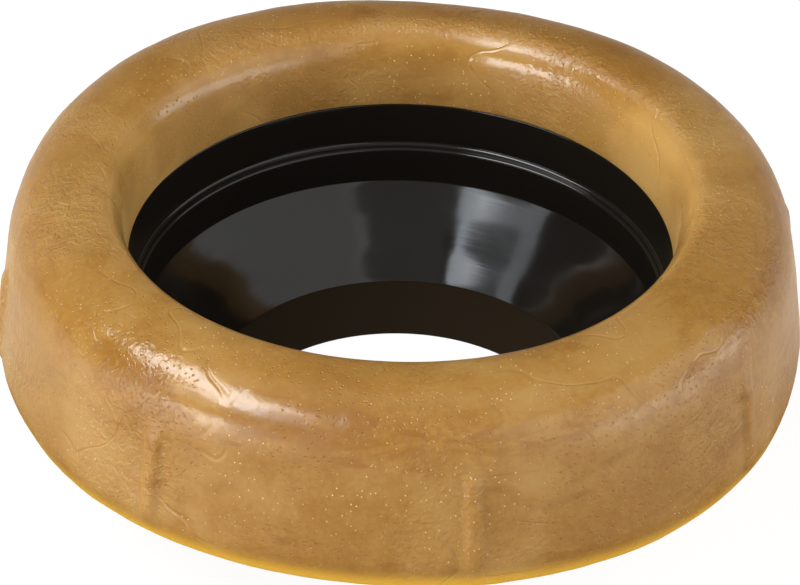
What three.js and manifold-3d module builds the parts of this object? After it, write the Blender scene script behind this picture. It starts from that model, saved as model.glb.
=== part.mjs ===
// A toilet pan seal: a ring of soft petroleum wax moulded round a black plastic horn.
// Sizes are millimetres and +Z is up. The origin is the centre of the horn's end face,
// which the seal stands on. Both pieces are revolved about Z.

import * as THREE from 'three';
import { mergeVertices } from 'three/addons/utils/BufferGeometryUtils.js';
import Module from 'manifold-3d';

// Wax ring. Heights are above its underside.
const lipRadius = 44.4; // where the inner slope ends, over the horn's rim
const lipHeight = 19.9;
const ringWidth = 22.5; // from the lip out to the widest part of the foot
const ringHeight = 33.5;
const crestSetback = 6.8; // from the lip out to the highest circle
const footRound = 7.7;
const wallDraft = 7.9; // degrees that the outer wall leans in
const shoulderHeight = 23.5; // where the straight wall ends
const shoulderFullness = 0.59; // 0.55 gives an ellipse, 1 a square corner
const slopeFullness = 0.70;

// Ribs that the mould's vents leave on the outer wall
const ribCount = 8;
const ribTurn = -80; // degrees from +X to the first rib
const ribRadius = 2.0;
const ribProud = 1.0; // how far a rib stands out of the wall
const ribTopHeight = 22.5; // where a rib sinks into the shoulder

// Horn, from its rim down
const hornWall = 1.6;
const lipOverhang = 0.2; // the wax lip stands this much inside the rim
const collarDepth = 7.8;
const collarTaper = 0.4;
const ledgeWidth = 1.6;
const lowerWallDepth = 6.4;
const lowerWallTaper = 0.1;
const coneDepth = 13.4;
const sleeveDepth = 9.8;
const sleeveTaper = 2.2;
const mouthRadius = 28.9;
const flangeWidth = 8.0; // the anchoring flange buried in the wax
const flangeThickness = 1.6;

// Rounds on the horn
const ledgeRound = 0.7;
const coneRound = 0.6;
const edgeRound = 0.4;

// Between the horn and the wax that is cast on it
const fitClearance = 0.3;

// Steps round the axis, along a round, along a free curve and along a rib
const turnSteps = 80;
const roundSteps = 2;
const curveSteps = 7;
const ribSteps = 12;
const ribSides = 10;

const hornHeight = collarDepth + lowerWallDepth + coneDepth + sleeveDepth;
const undersideZ = hornHeight + fitClearance - lipHeight;
const lipZ = undersideZ + lipHeight;

const rimRadius = lipRadius + lipOverhang;
const collarFootRadius = rimRadius - collarTaper;
const lowerWallRadius = collarFootRadius - ledgeWidth;
const coneTopRadius = lowerWallRadius - lowerWallTaper;
const sleeveTopRadius = mouthRadius + sleeveTaper;

const ledgeZ = hornHeight - collarDepth;
const coneTopZ = sleeveDepth + coneDepth;
const flangeBottomZ = ledgeZ - flangeThickness;
const flangeRadius = rimRadius + hornWall + flangeWidth;

function point(radius, z, round = 0) {
  return Object.assign(new THREE.Vector2(radius, z), { round });
}

// The arc that rounds one corner of an outline, tangent to both of its sides
function cornerArc(before, corner, after) {
  const back = before.clone().sub(corner);
  const ahead = after.clone().sub(corner);
  const half = back.angleTo(ahead) / 2;
  const room = Math.min(back.length(), ahead.length()) / 2;
  const setback = Math.min(corner.round / Math.tan(half), room);
  const start = corner.clone().addScaledVector(back.normalize(), setback);
  const end = corner.clone().addScaledVector(ahead.normalize(), setback);
  const bisector = back.clone().add(ahead).normalize();
  const centre = corner.clone().addScaledVector(bisector, setback / Math.cos(half));
  const from = start.clone().sub(centre);
  const sweep = Math.PI - 2 * half;
  const side = Math.sign(from.cross(end.clone().sub(centre)));
  const arc = [];
  for (let i = 0; i <= roundSteps; i += 1) {
    const spoke = from.clone().rotateAround(new THREE.Vector2(), (side * sweep * i) / roundSteps);
    arc.push(centre.clone().add(spoke));
  }
  return arc;
}

// A closed outline with every corner that has a round replaced by its arc
function roundedOutline(corners) {
  return corners.flatMap((corner, i) => {
    if (!corner.round) return [corner];
    const before = corners.at(i - 1);
    const after = corners[(i + 1) % corners.length];
    return cornerArc(before, corner, after);
  });
}

function revolve(outline) {
  const closed = [...outline, outline[0]];
  const geometry = new THREE.LatheGeometry(closed, turnSteps);
  geometry.rotateX(Math.PI / 2);
  return weld(geometry);
}

function weld(geometry) {
  geometry.deleteAttribute('normal');
  geometry.deleteAttribute('uv');
  return mergeVertices(geometry);
}

// The horn's inside below the ledge, from the top down
function hornInside() {
  return [
    point(lowerWallRadius, ledgeZ, ledgeRound),
    point(coneTopRadius, coneTopZ, coneRound),
    point(sleeveTopRadius, sleeveDepth, coneRound),
    point(mouthRadius, 0, edgeRound),
  ];
}

// The same run moved outwards by a distance, square to each of its stretches
function hornOutside(distance) {
  const inside = hornInside();
  const stretches = inside.slice(1).map((end, i) => end.clone().sub(inside[i]).normalize());
  const normals = stretches.map((along) => new THREE.Vector2(-along.y, along.x));
  return inside.map((corner, i) => {
    const above = normals[i - 1];
    const below = normals[i];
    if (!above) return point(corner.x + distance / below.x, corner.y);
    if (!below) return point(corner.x + distance / above.x, corner.y, corner.round);
    const mitre = above.clone().add(below).multiplyScalar(distance / (1 + above.dot(below)));
    return point(corner.x + mitre.x, corner.y + mitre.y);
  });
}

// Where a run of points crosses a height
function crossing(run, z) {
  const i = run.findIndex((corner) => corner.y < z);
  const share = (run[i - 1].y - z) / (run[i - 1].y - run[i].y);
  return point(THREE.MathUtils.lerp(run[i - 1].x, run[i].x, share), z);
}

function hornOutline() {
  const outside = hornOutside(hornWall);
  const collarRadius = rimRadius + hornWall;
  return roundedOutline([
    point(rimRadius, hornHeight, edgeRound),
    point(collarFootRadius, ledgeZ, ledgeRound),
    ...hornInside(),
    ...outside.filter((corner) => corner.y < flangeBottomZ).reverse(),
    crossing(outside, flangeBottomZ),
    point(flangeRadius, flangeBottomZ),
    point(flangeRadius, ledgeZ),
    point(collarRadius, ledgeZ),
    point(collarRadius, hornHeight, edgeRound),
  ]);
}

// The wax's bore takes the horn's outside, flange and rim with the clearance all round
function boreOutline() {
  const outside = hornOutside(hornWall + fitClearance);
  const boreRadius = rimRadius + hornWall + fitClearance;
  const grooveRadius = flangeRadius + fitClearance;
  const grooveTop = ledgeZ + fitClearance;
  const grooveBottom = flangeBottomZ - fitClearance;
  const below = outside.filter((corner) => corner.y < grooveBottom && corner.y > undersideZ);
  return [
    point(lipRadius, lipZ),
    point(boreRadius, lipZ),
    point(boreRadius, grooveTop),
    point(grooveRadius, grooveTop),
    point(grooveRadius, grooveBottom),
    crossing(outside, grooveBottom),
    ...below,
    crossing(outside, undersideZ),
  ];
}

const draftAngle = THREE.MathUtils.degToRad(wallDraft);
const ringRadius = lipRadius + ringWidth;

// A point at a polar angle about the foot round's centre, at a distance under the surface
function footPoint(angle, depth = 0) {
  const reach = footRound - depth;
  const radius = ringRadius - footRound + reach * Math.cos(angle);
  return point(radius, undersideZ + footRound + reach * Math.sin(angle));
}

// A point on the straight wall, at a height above the underside and a depth in the wax
function wallPoint(height, depth = 0) {
  const start = footPoint(draftAngle, depth);
  const z = undersideZ + height;
  return point(start.x - (z - start.y) * Math.tan(draftAngle), z);
}

function footRoundPoints() {
  const steps = 3 * roundSteps;
  const quarter = Math.PI / 2;
  const turns = Array.from({ length: steps + 1 }, (_, i) => i / steps);
  return turns.map((share) => footPoint(-quarter + share * (quarter + draftAngle)));
}

// From the wall over the crest and down to the lip, leaving the wall along its lean,
// level at the crest and upright at the lip
function crownPoints() {
  const wallTop = wallPoint(shoulderHeight);
  const crest = point(lipRadius + crestSetback, undersideZ + ringHeight);
  const lip = point(lipRadius, lipZ);
  const rise = (crest.y - wallTop.y) * shoulderFullness;
  const leaving = point(wallTop.x - rise * Math.tan(draftAngle), wallTop.y + rise);
  const reaching = point(crest.x + (wallTop.x - crest.x) * shoulderFullness, crest.y);
  const falling = point(crest.x + (lip.x - crest.x) * slopeFullness, crest.y);
  const landing = point(lip.x, lip.y + (crest.y - lip.y) * slopeFullness);
  const shoulder = new THREE.CubicBezierCurve(wallTop, leaving, reaching, crest);
  const slope = new THREE.CubicBezierCurve(crest, falling, landing, lip);
  return [...shoulder.getPoints(curveSteps), ...slope.getPoints(curveSteps).slice(1, -1)];
}

function ringOutline() {
  return [...footRoundPoints(), ...crownPoints(), ...boreOutline()];
}

// One round bar that runs up the wall just under its surface, turned to its place.
// Its foot follows the foot round, and its top dives into the shoulder.
function ribBar(angle) {
  const depth = ribRadius - ribProud;
  const buried = 2 * ribRadius;
  const side = [
    footPoint(-Math.PI / 3, buried),
    footPoint(-Math.PI / 5, depth),
    footPoint(0, depth),
    wallPoint((footRound + ribTopHeight) / 2, depth),
    wallPoint(ribTopHeight, depth + ribProud / 2),
    wallPoint(ribTopHeight + 2 * ribRadius, buried),
  ];
  const route = new THREE.CatmullRomCurve3(side.map((at) => new THREE.Vector3(at.x, 0, at.y)));
  const section = new THREE.Shape();
  section.absarc(0, 0, ribRadius, 0, 2 * Math.PI);
  const options = { steps: ribSteps, curveSegments: ribSides / 2, extrudePath: route };
  const geometry = new THREE.ExtrudeGeometry(section, options);
  geometry.rotateZ(angle);
  return weld(geometry);
}

const manifold = await Module();
manifold.setup();

function toSolid(geometry) {
  const mesh = new manifold.Mesh({
    numProp: 3,
    vertProperties: new Float32Array(geometry.attributes.position.array),
    triVerts: new Uint32Array(geometry.index.array),
  });
  return new manifold.Manifold(mesh);
}

function fromSolid(solid) {
  const mesh = solid.getMesh();
  const geometry = new THREE.BufferGeometry();
  geometry.setAttribute('position', new THREE.BufferAttribute(mesh.vertProperties, 3));
  geometry.setIndex(new THREE.BufferAttribute(mesh.triVerts, 1));
  geometry.computeVertexNormals();
  return geometry;
}

function waxRing() {
  let ring = toSolid(revolve(ringOutline()));
  for (let i = 0; i < ribCount; i += 1) {
    const angle = THREE.MathUtils.degToRad(ribTurn) + (i * 2 * Math.PI) / ribCount;
    ring = ring.add(toSolid(ribBar(angle)));
  }
  const wax = new THREE.MeshStandardMaterial({ color: 0xa87c40, roughness: 0.38, metalness: 0 });
  const mesh = new THREE.Mesh(fromSolid(ring), wax);
  mesh.name = 'wax_ring';
  return mesh;
}

function horn() {
  const geometry = revolve(hornOutline());
  geometry.computeVertexNormals();
  const plastic = new THREE.MeshStandardMaterial({ color: 0x0b0b0a, roughness: 0.22, metalness: 0 });
  const mesh = new THREE.Mesh(geometry, plastic);
  mesh.name = 'horn';
  return mesh;
}

const seal = new THREE.Group();
seal.add(waxRing(), horn());

export default seal;
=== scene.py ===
import math

import bpy
from mathutils import Matrix, Vector
from mathutils.geometry import interpolate_bezier


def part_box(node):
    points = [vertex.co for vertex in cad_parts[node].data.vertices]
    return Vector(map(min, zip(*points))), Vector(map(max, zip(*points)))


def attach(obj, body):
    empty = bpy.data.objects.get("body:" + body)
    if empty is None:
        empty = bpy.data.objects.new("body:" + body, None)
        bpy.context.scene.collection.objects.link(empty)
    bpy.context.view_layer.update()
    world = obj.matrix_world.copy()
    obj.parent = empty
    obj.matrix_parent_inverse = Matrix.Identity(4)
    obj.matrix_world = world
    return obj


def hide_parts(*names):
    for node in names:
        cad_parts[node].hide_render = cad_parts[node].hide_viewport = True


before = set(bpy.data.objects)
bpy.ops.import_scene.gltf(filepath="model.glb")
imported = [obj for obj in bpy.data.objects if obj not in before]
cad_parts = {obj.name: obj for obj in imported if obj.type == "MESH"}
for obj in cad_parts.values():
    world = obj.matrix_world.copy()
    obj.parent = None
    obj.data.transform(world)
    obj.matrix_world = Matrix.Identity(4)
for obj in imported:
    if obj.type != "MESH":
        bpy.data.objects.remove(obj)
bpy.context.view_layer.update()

# Camera. The seal is seen from the front and from well above, so that the crown, the bore and the
# outer wall all show. A long lens keeps its circles close to true ellipses.
camera_distance = 0.670  # from the point on the bore's axis that the camera circles round
camera_elevation = math.radians(34.88)
camera_dip = math.radians(0.366)  # it looks a little below that point
camera_roll = math.radians(0.857)
camera_centre = Vector((0, 0, 0.0346))
camera_data = bpy.data.cameras.new("camera")
camera_data.sensor_width = 36
camera_data.lens = 184.5
camera = bpy.data.objects.new("camera", camera_data)
towards_camera = Vector((0, -math.cos(camera_elevation), math.sin(camera_elevation)))
camera_place = Matrix.Translation(camera_centre + towards_camera * camera_distance)
camera_tilt = Matrix.Rotation(math.pi / 2 - camera_elevation - camera_dip, 4, "X")
camera.matrix_world = camera_place @ camera_tilt @ Matrix.Rotation(camera_roll, 4, "Z")
bpy.context.scene.collection.objects.link(camera)
bpy.context.scene.camera = camera
bpy.context.scene.view_settings.view_transform = "Standard"

# Horn. One injection-moulded funnel of glossy black polyethylene: a collar, a small ledge, a straight
# wall, a cone and a sleeve that enters the drain pipe. Its mould was turned, so fine rings go round
# it. The flat flange on its outside is buried in the wax, which was cast on to it.
horn_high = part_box("horn")[1]
horn_height = horn_high.z
horn_wall = 0.0016
rim_radius = 0.0446
collar_foot_radius = 0.0442
ledge_height = 0.0296
lower_wall_radius = 0.0426
cone_top_radius = 0.0425
cone_top_height = 0.0232
sleeve_height = 0.0098
sleeve_top_radius = 0.0311
mouth_radius = 0.0289
cone_outer_top = cone_top_height - horn_wall * 0.6  # outside, the corners lie lower than inside
sleeve_outer_top = sleeve_height - horn_wall * 0.5
sleeve_outer_radius = sleeve_top_radius + horn_wall * 1.1
flange_radius = horn_high.x
flange_thickness = 0.0016
collar_fillet = 0.0010
ledge_round = 0.0006
cone_edge_round = 0.0005
cone_foot_round = 0.0006
cone_bends = [(0.0190, 0.00005), (0.0140, -0.00014)]  # height, and how far off a straight cone
cone_bend_round = 0.060
rim_round = 0.0003
horn_steps = 256  # round the axis
horn_spacing = 0.0012  # between points along a stretch of the outline
arc_steps = 6
weld_distance = 0.000001

horn_black = (0.0085, 0.0068, 0.0050, 1)
horn_dust = (0.030, 0.029, 0.027, 1)
# The next colour is a painted reflection: the brown of the wax mirrored in the sleeve.
horn_painted_wax_reflection = (0.022, 0.0150, 0.0085, 1)
horn_roughness = 0.06
smudge_roughness = 0.08  # this and the next one are added to it
ring_mark_roughness = 0.06
horn_specular = 0.38
ring_mark_pitch = 0.00028
ring_mark_depth = 0.0000030
ring_mark_drift = 0.6  # how much the marks change round the axis
smudge_scale = 90  # this and the next one are features per metre
dust_scale = 2600
sleeve_edge_blur = 0.0004


def rounded(corners):
    """An outline of (radius, height, round) corners, each with a round replaced by its arc."""
    outline = []
    for i, (radius, height, round_off) in enumerate(corners):
        corner = Vector((radius, height))
        if not round_off:
            outline.append(corner)
            continue
        back = Vector(corners[i - 1][:2]) - corner
        ahead = Vector(corners[(i + 1) % len(corners)][:2]) - corner
        half = back.angle(ahead) / 2
        setback = min(round_off / math.tan(half), back.length / 2, ahead.length / 2)
        start = corner + back.normalized() * setback
        end = corner + ahead.normalized() * setback
        bisector = (back.normalized() + ahead.normalized()).normalized()
        centre = corner + bisector * (setback / math.cos(half))
        begin = math.atan2(start.y - centre.y, start.x - centre.x)
        sweep = math.remainder(math.atan2(end.y - centre.y, end.x - centre.x) - begin, 2 * math.pi)
        for step in range(arc_steps + 1):
            turn = begin + sweep * step / arc_steps
            outline.append(centre + (start - centre).length * Vector((math.cos(turn), math.sin(turn))))
    return outline


def filled(outline, spacing):
    """The same run of points, with more added so that none of its stretches is longer than spacing."""
    points = []
    for here, following in zip(outline, outline[1:]):
        count = max(1, math.ceil((following - here).length / spacing))
        points += [here.lerp(following, i / count) for i in range(count)]
    return points + [outline[-1]]


class Wire:
    """A socket in a node tree. Arithmetic on wires adds the Math nodes that work it out."""

    def __init__(self, tree, socket):
        self.tree = tree
        self.socket = socket

    def node(self, kind, inputs=None, output=0, **settings):
        """Adds a node to the tree: its settings first, then its sockets' values and links."""
        added = self.tree.nodes.new(kind)
        for name, value in settings.items():
            setattr(added, name, value)
        # A node also holds the sockets of its other modes, which are switched off
        live = [socket for socket in added.inputs if socket.enabled]
        for name, value in (inputs or {}).items():
            socket = live[name] if isinstance(name, int) else next(s for s in live if s.name == name)
            if isinstance(value, Wire):
                self.tree.links.new(value.socket, socket)
            else:
                socket.default_value = value
        outputs = [socket for socket in added.outputs if socket.enabled]
        if isinstance(output, int):
            return Wire(self.tree, outputs[output])
        return Wire(self.tree, next(socket for socket in outputs if socket.name == output))

    def maths(self, operation, *others):
        """A Math node with this wire as its first value."""
        return self.node("ShaderNodeMath", dict(enumerate((self, *others))), operation=operation)

    def swapped(self, operation, first):
        """A Math node with this wire as its second value."""
        return self.node("ShaderNodeMath", {0: first, 1: self}, operation=operation)

    def __add__(self, other):
        return self.maths("ADD", other)

    def __sub__(self, other):
        return self.maths("SUBTRACT", other)

    def __mul__(self, other):
        return self.maths("MULTIPLY", other)

    def __truediv__(self, other):
        return self.maths("DIVIDE", other)

    def __radd__(self, other):
        return self.maths("ADD", other)

    def __rsub__(self, other):
        return self.swapped("SUBTRACT", other)

    def __rmul__(self, other):
        return self.maths("MULTIPLY", other)

    def __rtruediv__(self, other):
        return self.swapped("DIVIDE", other)

    def between(self, low, high, to_low=0.0, to_high=1.0):
        """Eases from to_low to to_high as this wire goes from low to high."""
        ends = {"Value": self, "From Min": low, "From Max": high, "To Min": to_low, "To Max": to_high}
        return self.node("ShaderNodeMapRange", ends, interpolation_type="SMOOTHSTEP")

    def parts(self):
        """The three components of a vector."""
        return [self.node("ShaderNodeSeparateXYZ", {0: self}, axis) for axis in range(3)]

    def vector(self, x, y, z):
        """A vector made of three wires or numbers."""
        return self.node("ShaderNodeCombineXYZ", {0: x, 1: y, 2: z})

    def plus(self, other):
        """The sum of two vectors."""
        return self.node("ShaderNodeVectorMath", {0: self, 1: other}, operation="ADD")

    def scaled(self, factor):
        """This vector times a number."""
        return self.node("ShaderNodeVectorMath", {"Vector": self, "Scale": factor}, operation="SCALE")

    def noise(self, scale, detail=2.0, roughness=0.5, distortion=0.0):
        """Soft noise from 0 to 1, read at this place."""
        inputs = {"Vector": self, "Scale": scale, "Detail": detail, "Roughness": roughness}
        return self.node("ShaderNodeTexNoise", {**inputs, "Distortion": distortion})

    def cells(self, scale, output="Distance"):
        """Scattered spots: how far this place is from the nearest one, or that spot's own colour."""
        return self.node("ShaderNodeTexVoronoi", {"Vector": self, "Scale": scale}, output, feature="F1")

    def raised(self, height):
        """The surface normal that this wire gives as a relief of that height in metres."""
        return self.node("ShaderNodeBump", {"Height": self * height, "Distance": 1.0, "Strength": 1.0})

    def mixed(self, other, share):
        """This colour, with a share of another laid over it."""
        inputs = {"Factor": share, "A": self, "B": other}
        return self.node("ShaderNodeMix", inputs, data_type="RGBA")


def turned_surface(outline, steps):
    """Sweeps a closed outline of points in the XZ plane once round Z, and gives its mesh."""
    count = outline.node("GeometryNodeAttributeDomainSize", {0: outline}, component="MESH")
    rows = count + 1
    grid = outline.node("GeometryNodeMeshGrid", {"Vertices X": steps + 1, "Vertices Y": rows})
    index = outline.node("GeometryNodeInputIndex")
    row = index.maths("FLOORED_MODULO", rows)
    column = ((index + 0.5) / rows).maths("FLOOR")
    angle = column * (2 * math.pi) / steps
    picked = {
        0: outline,
        "Value": outline.node("GeometryNodeInputPosition"),
        "Index": row.maths("FLOORED_MODULO", count),
    }
    there = outline.node("GeometryNodeSampleIndex", picked, data_type="FLOAT_VECTOR")
    radius, _, height = there.parts()
    swept = there.vector(radius * angle.maths("COSINE"), radius * angle.maths("SINE"), height)
    placed = grid.node("GeometryNodeSetPosition", {0: grid, "Position": swept})
    return placed.node("GeometryNodeMergeByDistance", {0: placed, "Distance": weld_distance})


def new_tree(name):
    """A geometry tree that takes an outline and gives a surface, with no nodes in it yet."""
    tree = bpy.data.node_groups.new(name, "GeometryNodeTree")
    tree.interface.new_socket("Outline", in_out="INPUT", socket_type="NodeSocketGeometry")
    tree.interface.new_socket("Surface", in_out="OUTPUT", socket_type="NodeSocketGeometry")
    return tree


def named_inputs(tree, sizes):
    """Adds a number input for each named size, and gives the wires of all the tree's inputs."""
    for name, value in sizes.items():
        kind = "NodeSocketInt" if isinstance(value, int) else "NodeSocketFloat"
        tree.interface.new_socket(name, in_out="INPUT", socket_type=kind)
    entry = tree.nodes.new("NodeGroupInput")
    return {socket.name: Wire(tree, socket) for socket in entry.outputs if socket.name}


def close_tree(surface, material):
    """Ends a tree with smooth, realized faces of one material."""
    smooth = surface.node("GeometryNodeSetShadeSmooth", {0: surface})
    whole = smooth.node("GeometryNodeRealizeInstances", {0: smooth})
    finished = whole.node("GeometryNodeSetMaterial", {0: whole, "Material": material})
    end = finished.tree.nodes.new("NodeGroupOutput")
    finished.tree.links.new(finished.socket, end.inputs[0])


def turned_piece(name, outline, tree, sizes):
    """Runs a tree on an outline, and keeps its result as a plain mesh."""
    mesh = bpy.data.meshes.new(name)
    points = [(point.x, 0, point.y) for point in outline]
    edges = [(i, (i + 1) % len(points)) for i in range(len(points))]
    mesh.from_pydata(points, edges, [])
    piece = bpy.data.objects.new(name, mesh)
    bpy.context.scene.collection.objects.link(piece)
    modifier = piece.modifiers.new("turning", "NODES")
    modifier.node_group = tree
    for item in tree.interface.items_tree:
        if item.in_out == "INPUT" and item.name in sizes:
            modifier[item.identifier] = sizes[item.name]
    evaluated = piece.evaluated_get(bpy.context.evaluated_depsgraph_get())
    result = bpy.data.meshes.new_from_object(evaluated)
    piece.modifiers.clear()
    piece.data = result
    bpy.data.meshes.remove(mesh)
    result.name = name
    return piece


def new_material(name):
    """A material with an empty tree, as (material, wire to add nodes from, shader node)."""
    material = bpy.data.materials.new(name)
    material.use_nodes = True
    tree = material.node_tree
    shader = tree.nodes["Principled BSDF"]
    place = tree.nodes.new("ShaderNodeTexCoord")
    return material, Wire(tree, place.outputs["Object"]), shader


def feed(shader, name, wire):
    """Leads a wire to an input of the shader."""
    wire.tree.links.new(wire.socket, shader.inputs[name])


def horn_outline():
    """The horn's section, from its rim down the inside and back up the outside."""
    flange_low = ledge_height - flange_thickness
    cone_slope = (cone_top_radius - sleeve_top_radius) / (cone_top_height - sleeve_height)
    bends = [
        (sleeve_top_radius + (height - sleeve_height) * cone_slope, height + offset, cone_bend_round)
        for height, offset in cone_bends
    ]
    inside = [
        (rim_radius, horn_height, rim_round),
        (collar_foot_radius, ledge_height, collar_fillet),
        (lower_wall_radius, ledge_height, ledge_round),
        (cone_top_radius, cone_top_height, cone_edge_round),
        *bends,
        (sleeve_top_radius, sleeve_height, cone_foot_round),
        (mouth_radius, 0, rim_round),
    ]
    outside = [
        (mouth_radius + horn_wall, 0, rim_round),
        (sleeve_outer_radius, sleeve_outer_top, cone_foot_round),
        (cone_top_radius + horn_wall, cone_outer_top, cone_foot_round),
        (lower_wall_radius + horn_wall, flange_low, rim_round),
        (flange_radius, flange_low, rim_round),
        (flange_radius, ledge_height, rim_round),
        (rim_radius + horn_wall, ledge_height, rim_round),
        (rim_radius + horn_wall, horn_height, rim_round),
    ]
    outline = rounded(inside + outside)
    return filled(outline + outline[:1], horn_spacing)[:-1]


def horn_material():
    material, place, shader = new_material("black_polyethylene")
    x, y, z = place.parts()
    radius = (x * x + y * y).maths("SQRT")
    # Rings left by the turned mould: noise that hardly changes round the axis
    round_x = x / radius * ring_mark_drift
    round_y = y / radius * ring_mark_drift
    rings = place.vector(round_x, round_y, z / ring_mark_pitch).noise(1.0, 2.0, 0.6)
    smudges = place.noise(smudge_scale, 3.0, 0.6)
    dust = place.noise(dust_scale, 2.0, 0.7).between(0.66, 0.80) * smudges.between(0.45, 0.7)
    colours = {"Factor": dust, "A": horn_black, "B": horn_dust}
    plain = place.node("ShaderNodeMix", colours, data_type="RGBA")
    # Painted reflection: the sleeve is browner, standing in for the wax mirrored in it.
    on_sleeve = z.between(sleeve_height + sleeve_edge_blur, sleeve_height - sleeve_edge_blur)
    feed(shader, "Base Color", plain.mixed(horn_painted_wax_reflection, on_sleeve))
    dulling = smudge_roughness * smudges.between(0.35, 0.75)
    feed(shader, "Roughness", horn_roughness + dulling + ring_mark_roughness * rings)
    feed(shader, "Normal", rings.raised(ring_mark_depth))
    shader.inputs["Specular IOR Level"].default_value = horn_specular
    return material


horn_sizes = {"Steps round the axis": horn_steps}
horn_tree = new_tree("turned_horn")
horn_inputs = named_inputs(horn_tree, horn_sizes)
horn_surface = turned_surface(horn_inputs["Outline"], horn_inputs["Steps round the axis"])
close_tree(horn_surface, horn_material())
horn = turned_piece("moulded_horn", horn_outline(), horn_tree, horn_sizes)
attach(horn, "root")
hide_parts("horn")

# Wax ring. Soft amber petroleum wax, cast in a mould round the horn's flange and pressed out by hand:
# a rounded crown over the bore, a leaning outer wall with a rib at each of the mould's eight vents,
# and a rounded foot. It is a little out of round, dented and creased from handling. Its colour also
# holds painted light: sheen, shade on the far crest, glow at the foot and glints.
wax_low, wax_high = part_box("wax_ring")
wax_underside = wax_low.z
lip_radius = 0.0444
lip_height = 0.0199  # this and the section's other heights are above the wax's underside
ring_height = wax_high.z - wax_low.z
ring_radius = 0.0669
crest_radius = 0.0512
foot_round = 0.0077
wall_lean = math.radians(7.9)
shoulder_height = 0.0235
shoulder_fullness = 0.59
slope_fullness = 0.70
lip_round = 0.0003
lip_lead = 0.0015
wax_clearance = 0.0003
lip_gap = 0.0001  # between the lip's underside and the horn's rim
bore_taper = 0.0038  # how much the bore narrows towards the underside
foot_steps = 16
crown_steps = 30  # in each of its two curves
wax_spacing = 0.00085  # between points along the visible part of the outline
bore_spacing = 0.003
wax_steps = 770

ovalness = 0.00083
oval_turn = math.radians(115.6)
squareness = 0.00073
square_turn = math.radians(39.8)
rib_count = 8
rib_turn = math.radians(-80)
rib_proud = 0.0009
rib_width = 0.0014
rib_low = 0.0042  # where the rib starts and fades out, above the underside
rib_high = 0.0245
rib_low_fade = 0.0055
rib_high_fade = 0.004
rib_outside = (ring_radius - foot_round - 0.001, ring_radius - 0.004)
shaped_outside = (lip_radius + 0.0006, lip_radius + 0.008)  # the bore keeps the horn's round shape
shaped_above = (-0.0005, 0.0005)
swell_size = 0.020
swell_depth = 0.00030
dent_size = 0.0065
dent_depth = 0.00012

wax_amber = (0.272, 0.122, 0.014, 1)
wax_deep = (0.235, 0.094, 0.008, 1)
wax_tan = (0.370, 0.193, 0.040, 1)
# The haze below also paints sheen, and the four colours after it paint shade, sheen by the lip, glow at
# the foot and glints.
wax_haze_and_sheen = (0.415, 0.242, 0.075, 1)
wax_shade = (0.205, 0.086, 0.009, 1)
wax_lip_sheen = (0.540, 0.315, 0.092, 1)
wax_glow = (0.700, 0.385, 0.030, 1)
wax_painted_glint = (0.92, 0.72, 0.36, 1)
flow_scale = 200  # this and the next nine are features per metre
cloud_scale = 44
grain_scale = 430
skin_scale = 1150
sparkle_scale = 1350
pit_scale = 1150
grain_cluster_scale = 48
wrinkle_scale = 820
wrinkled_patch_scale = 36
fold_scale = 70
flow_radius = 0.022  # smaller than the ring's own, which stretches the streaks round it
flow_slant = 0.6
gloss_height = 0.0282  # where the wall's matt face ends
edge_wander = 0.009
matt_edge = (0.0018, -0.0022)  # this and the next two are measured from that height
rim_band_low = (-0.0050, -0.0010)
rim_band_high = (0.0030, 0.0)
sheen_front = (-0.028, -0.048)  # where each of these begins, and where it has its full strength
sheen_right = (0.036, 0.052)
crown_inside = (0.0615, 0.0570)
sheen_left = (-0.036, -0.060)
shaded_back = (0.018, 0.056)
crest_outside = (0.0485, 0.0520)
lip_inside = (0.0500, 0.0454)
lip_above = (0.018, 0.020)
lip_sides = (0.012, 0.040)
glowing_foot = (0.0072, 0.0030)
dull_outside = (0.0466, 0.0484)
dull_behind = (-0.034, -0.014)
clearer_behind = (0.008, 0.035)
gloss_roughness = 0.14
clear_roughness = 0.095
matt_roughness = 0.42
wrinkle_depth = 0.000110
pit_depth = 0.00009
crease_depth = 0.00008
sparkle_height = 0.00008
grain_height = 0.000022
skin_height = 0.000026
wax_translucency = 0.6
wax_light_reach = (1.0, 0.55, 0.16)  # red goes furthest
wax_reach_scale = 0.0026
wax_ior = 1.44
wax_specular = 0.65


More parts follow.
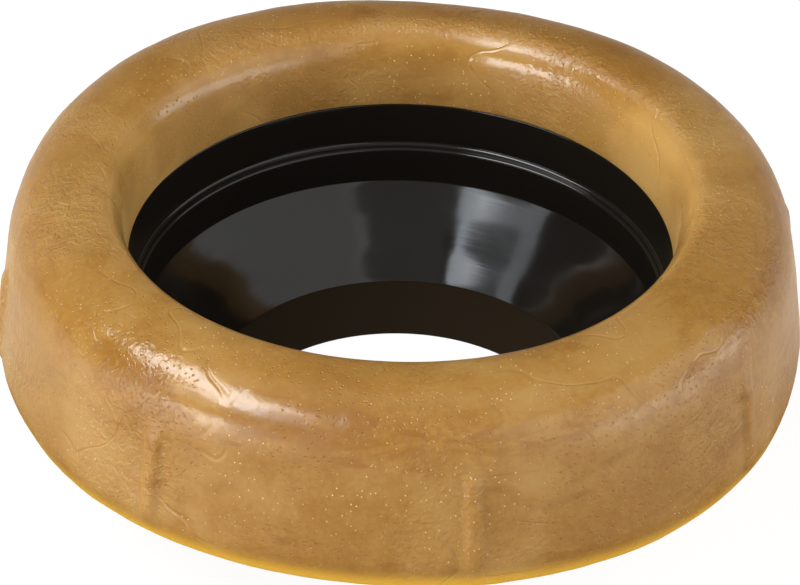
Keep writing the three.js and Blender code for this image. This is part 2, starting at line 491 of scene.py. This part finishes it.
def wax_outline():
    """The ring's section: round foot, leaning wall, shoulder, inner slope, lip and bore."""
    foot_centre = Vector((ring_radius - foot_round, wax_underside + foot_round))

    def on_foot(angle):
        return foot_centre + Vector((math.cos(angle), math.sin(angle))) * foot_round

    foot_arc = math.pi / 2 + wall_lean
    foot = [on_foot(-math.pi / 2 + foot_arc * i / foot_steps) for i in range(foot_steps + 1)]
    top_of_wall = wax_underside + shoulder_height
    wall_rise = top_of_wall - foot[-1].y
    wall_top = Vector((foot[-1].x - wall_rise * math.tan(wall_lean), top_of_wall))
    crest = Vector((crest_radius, wax_underside + ring_height))
    lip = Vector((lip_radius, wax_underside + lip_height))
    rise = (crest.y - wall_top.y) * shoulder_fullness
    leaving = wall_top + Vector((-rise * math.tan(wall_lean), rise))
    reaching = crest + Vector(((wall_top.x - crest.x) * shoulder_fullness, 0))
    falling = crest + Vector(((lip.x - crest.x) * slope_fullness, 0))
    landing = lip + Vector((0, (crest.y - lip.y) * slope_fullness))
    shoulder = interpolate_bezier(wall_top, leaving, reaching, crest, crown_steps)
    slope = interpolate_bezier(crest, falling, landing, lip, crown_steps)
    crown = [point.to_2d() for point in shoulder + slope[1:-1]]
    bore_radius = rim_radius + horn_wall + wax_clearance
    groove_radius = flange_radius + wax_clearance
    groove_top = ledge_height + wax_clearance
    groove_low = ledge_height - flange_thickness - wax_clearance
    low_bore_radius = lower_wall_radius + horn_wall + wax_clearance
    lip_underside = horn_height + lip_gap
    # The first and the last corner only steer the rounds beside them, and are dropped below
    inner = [
        (lip.x, lip.y + lip_lead, 0),
        (lip.x, lip_underside, lip_round),
        (bore_radius, lip_underside, 0),
        (bore_radius, groove_top, 0),
        (groove_radius, groove_top, 0),
        (groove_radius, groove_low, 0),
        (low_bore_radius, groove_low, 0),
        (low_bore_radius, cone_outer_top, 0),
        (low_bore_radius - bore_taper, wax_underside, lip_round),
        (ring_radius - foot_round, wax_underside, 0),
    ]
    bore = rounded(inner)[1:-1]
    return filled(foot + crown, wax_spacing) + filled(bore + foot[:1], bore_spacing)[:-1]


def fill_ring_tree(inputs, material):
    """Turns the outline, then pushes the surface in and out to its cast and handled shape."""
    ring = turned_surface(inputs["Outline"], inputs["Steps round the axis"])
    place = ring.node("GeometryNodeInputPosition")
    normal = ring.node("GeometryNodeInputNormal")
    x, y, z = place.parts()
    radius = (x * x + y * y).maths("SQRT")
    angle = y.maths("ARCTAN2", x)
    height = z - inputs["Underside"]
    seen = radius.between(*shaped_outside)

    def lobes(count, turn):
        return ((angle - turn) * count).maths("COSINE")

    oval = inputs["Ovalness"] * lobes(2.0, inputs["Oval turn"])
    square = inputs["Squareness"] * lobes(4.0, inputs["Square turn"])
    share = (oval + square) * seen / radius
    out_of_round = place.vector(x * share, y * share, 0.0)

    pitch = 2 * math.pi / inputs["Rib count"]
    from_rib = (angle - inputs["Rib turn"] + pitch / 2).maths("FLOORED_MODULO", pitch) - pitch / 2
    across = from_rib * radius / inputs["Rib width"]
    ridge = ((across * across).maths("POWER", 2.0) * -1.0).maths("EXPONENT")
    outer = radius.between(*rib_outside)
    rib = ridge * inputs["Rib proud"] * outer * height.between(rib_low, rib_low + rib_low_fade)
    rib = rib * height.between(rib_high, rib_high - rib_high_fade)

    above = height.between(*shaped_above)
    swells = (place.noise(1 / swell_size, 1.0, 0.4) - 0.5) * inputs["Swell depth"] * 2
    dents = (place.noise(1 / dent_size, 2.0, 0.5) - 0.5) * inputs["Dent depth"] * 2
    push = rib + (swells + dents) * seen * above
    moved = out_of_round.plus(normal.scaled(push))
    shaped = ring.node("GeometryNodeSetPosition", {0: ring, "Offset": moved})
    close_tree(shaped, material)


def wax_material():
    material, place, shader = new_material("amber_wax")
    x, y, z = place.parts()
    height = z - wax_underside
    radius = (x * x + y * y).maths("SQRT")
    # The wax flowed round the mould, so its streaks are long round the axis
    flow_place = place.vector(x / radius * flow_radius, y / radius * flow_radius, z - radius * flow_slant)
    flows = flow_place.noise(flow_scale, 3.0, 0.62, 1.2)
    clouds = place.noise(cloud_scale, 3.0, 0.6)
    grain = place.noise(grain_scale, 2.0, 0.6)
    skin = place.noise(skin_scale, 2.0, 0.6)
    mottle = (clouds * 0.5 + grain * 0.2 + skin * 0.3).between(0.34, 0.66)
    body = place.node("ShaderNodeMix", {"Factor": mottle, "A": wax_amber, "B": wax_tan}, data_type="RGBA")
    above_wall = height + (clouds + grain * 0.4 - 0.7) * edge_wander - gloss_height
    rim_band = above_wall.between(*rim_band_low) * above_wall.between(*rim_band_high)
    body = body.mixed(wax_deep, (flows + rim_band * 0.12).between(0.54, 0.68) * 0.55)
    # Painted sheen: paler wax on the near and right crown and on the left wall stands in for sheen; the
    # cloudy patches of haze are the wax's own.
    sheen_near = y.between(*sheen_front).maths("MAXIMUM", x.between(*sheen_right))
    painted_sheen = sheen_near * radius.between(*crown_inside) + x.between(*sheen_left)
    body = body.mixed(wax_haze_and_sheen, clouds.between(0.46, 0.66) * 0.45 + painted_sheen * 0.25)
    # Painted shade: the far side of the crest is darkened.
    far_crest = y.between(*shaded_back) * radius.between(*crest_outside)
    body = body.mixed(wax_shade, far_crest * 0.50)
    # Painted sheen: paler wax on the inner slope by the lip, strongest at the sides.
    lip = radius.between(*lip_inside) * height.between(*lip_above)
    lip = lip * clouds.between(0.38, 0.56, 0.55, 1.0)
    body = body.mixed(wax_lip_sheen, lip * x.maths("ABSOLUTE").between(*lip_sides, 0.28, 0.80))
    # Painted glow: the foot is paler and yellower, standing in for light shining through it.
    body = body.mixed(wax_glow, height.between(*glowing_foot))

    # The wall took the mould's matt face, and the crown set in the open with a gloss
    wall = above_wall.between(*matt_edge)
    dulled = radius.between(*dull_outside) * y.between(*dull_behind)
    matt = wall.maths("MAXIMUM", dulled)

    # Painted glints: tiny near-white spots in the colour stand in for glints; the same spots are raised a
    # little in the relief.
    spots = place.cells(sparkle_scale)
    chosen = place.cells(sparkle_scale, "Color").parts()[0]
    grain_clusters = place.noise(grain_cluster_scale, 1.0, 0.6).between(0.42, 0.60)
    glint_grains = spots.between(0.21, 0.09) * chosen.between(0.40, 0.80) * grain_clusters
    feed(shader, "Base Color", body.mixed(wax_painted_glint, glint_grains * 0.8))
    gloss = y.between(*clearer_behind, gloss_roughness, clear_roughness)
    feed(shader, "Roughness", gloss + matt * (matt_roughness - gloss) + grain * 0.06)

    # Relief: pits, wrinkled skin, broken creases, sparkling grains and the skin's own fine waves
    pits = place.cells(pit_scale).between(0.30, 0.08) * grain_clusters.between(0.6, 0.1)
    wrinkled = (place.noise(wrinkled_patch_scale, 1.0) + dulled * 0.16).between(0.52, 0.66)
    wrinkles = place.noise(wrinkle_scale, 2.0, 0.5, 0.8).between(0.38, 0.68) * wrinkled
    wrinkles = wrinkles * (0.25 + wall * 0.45).maths("MAXIMUM", dulled * 1.1)
    folds = (place.noise(fold_scale, 1.0, 0.4) - 0.5).maths("ABSOLUTE").between(0.016, 0.0)
    creases = folds * clouds.between(0.47, 0.55)
    relief = wrinkles * wrinkle_depth - pits * pit_depth - creases * crease_depth
    relief = relief + glint_grains * sparkle_height + grain * grain_height + skin * skin_height
    feed(shader, "Normal", relief.raised(1.0))

    shader.inputs["Subsurface Weight"].default_value = wax_translucency
    shader.inputs["Subsurface Radius"].default_value = wax_light_reach
    shader.inputs["Subsurface Scale"].default_value = wax_reach_scale
    shader.inputs["IOR"].default_value = wax_ior
    shader.inputs["Specular IOR Level"].default_value = wax_specular
    return material


wax_sizes = {
    "Steps round the axis": wax_steps,
    "Underside": wax_underside,
    "Ovalness": ovalness,
    "Oval turn": oval_turn,
    "Squareness": squareness,
    "Square turn": square_turn,
    "Rib count": rib_count,
    "Rib turn": rib_turn,
    "Rib width": rib_width,
    "Rib proud": rib_proud,
    "Swell depth": swell_depth,
    "Dent depth": dent_depth,
}
wax_tree = new_tree("cast_ring")
fill_ring_tree(named_inputs(wax_tree, wax_sizes), wax_material())
wax = turned_piece("cast_wax_ring", wax_outline(), wax_tree, wax_sizes)
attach(wax, "root")
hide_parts("wax_ring")

# Floor. A plain white table, lit evenly from beneath so that it stays pale. The patch round the seal is
# hidden from mirrored rays: the horn and the wax's foot mirror a black board of painted shade under it.
floor_radius = 4.0
patch_radius = 0.110
patch_centre = -0.050  # the painted shade that the board gives lies towards the viewer
circle_steps = 64
shade_board_drop = 0.001
floor_grey = (0.12, 0.12, 0.12, 1)
floor_glow = 0.92
painted_shade_black = (0.01, 0.01, 0.01, 1)
floor_material, _, floor_shader = new_material("white_table")
floor_shader.inputs["Base Color"].default_value = floor_grey
floor_shader.inputs["Roughness"].default_value = 0.6
floor_shader.inputs["Specular IOR Level"].default_value = 0.0
floor_shader.inputs["Emission Color"].default_value = (1, 1, 1, 1)
floor_shader.inputs["Emission Strength"].default_value = floor_glow


def circle(radius, centre_y, height):
    """Points round a level circle."""
    turns = [2 * math.pi * i / circle_steps for i in range(circle_steps)]
    return [(radius * math.cos(turn), centre_y + radius * math.sin(turn), height) for turn in turns]


def floor_piece(name, points, faces):
    mesh = bpy.data.meshes.new(name)
    mesh.from_pydata(points, [], faces)
    mesh.materials.append(floor_material)
    piece = bpy.data.objects.new(name, mesh)
    bpy.context.scene.collection.objects.link(piece)
    return piece


patch_edge = circle(patch_radius, patch_centre, 0)
around = []
for step in range(circle_steps):
    following = (step + 1) % circle_steps
    around.append((step, step + circle_steps, following + circle_steps, following))
floor_piece("floor", patch_edge + circle(floor_radius, 0, 0), around)
whole_disc = [tuple(range(circle_steps))]
floor_patch = floor_piece("floor_patch", patch_edge, whole_disc)
floor_patch.visible_glossy = False
# A black board under the patch: painted shade, which only mirrored rays see.
shade_board = floor_piece("painted_shade_board", circle(patch_radius, patch_centre, -shade_board_drop), whole_disc)
shade_board.data.materials.clear()
shade_board_material, _, shade_board_shader = new_material("painted_shade_board")
shade_board_shader.inputs["Base Color"].default_value = painted_shade_black
shade_board_shader.inputs["Specular IOR Level"].default_value = 0.0
shade_board.data.materials.append(shade_board_material)

# Lights. A long softbox high on the left makes the bright streaks on the wax. A bluish window on the
# left, brighter at its top and far side, shows in the horn. Low panels light the wall from the left
# and the right, and wide dim ones fill in from the right, the front and above.
light_distance = 0.9
window_tint = (0.86, 0.93, 1.0)
studio_grey = (0.12, 0.12, 0.12, 1)


def softbox(name, azimuth, elevation, width, height, radiance, tint=(1, 1, 1)):
    """A rectangular light that faces the seal. Azimuth 0 is the camera's side, and right is positive."""
    data = bpy.data.lights.new(name, "AREA")
    data.shape = "RECTANGLE"
    data.size = width
    data.size_y = height
    data.energy = radiance * math.pi * width * height
    data.color = tint
    lamp = bpy.data.objects.new(name, data)
    turn = math.radians(azimuth)
    climb = math.radians(elevation)
    away = Vector((math.sin(turn) * math.cos(climb), -math.cos(turn) * math.cos(climb), math.sin(climb)))
    lamp.location = camera_centre + away * light_distance
    lamp.rotation_euler = away.to_track_quat("Z", "Y").to_euler()
    lamp.visible_camera = False
    bpy.context.scene.collection.objects.link(lamp)


# Degrees round and up, width and height in metres, and how bright
softbox("high_left_strip", -73, 57, 0.68, 0.24, 11.4)
softbox("left_window", -54, 38, 0.52, 0.30, 0.9, window_tint)
softbox("window_top", -52, 46, 0.46, 0.10, 7.5, window_tint)
softbox("window_bright_side", -69, 36, 0.12, 0.25, 1.8, window_tint)
softbox("low_left_panel", -52, 9, 0.62, 0.24, 10.1)
softbox("right_fill", 66, 31, 1.70, 0.80, 1.15)
softbox("low_right_panel", 76, 6, 1.20, 0.50, 2.1)
softbox("front_fill", 0, 44, 0.60, 0.30, 0.34)
softbox("overhead", -10, 80, 1.00, 0.90, 0.40)

world = bpy.data.worlds.new("studio")
world.use_nodes = True
world.node_tree.nodes["Background"].inputs["Color"].default_value = studio_grey
bpy.context.scene.world = world
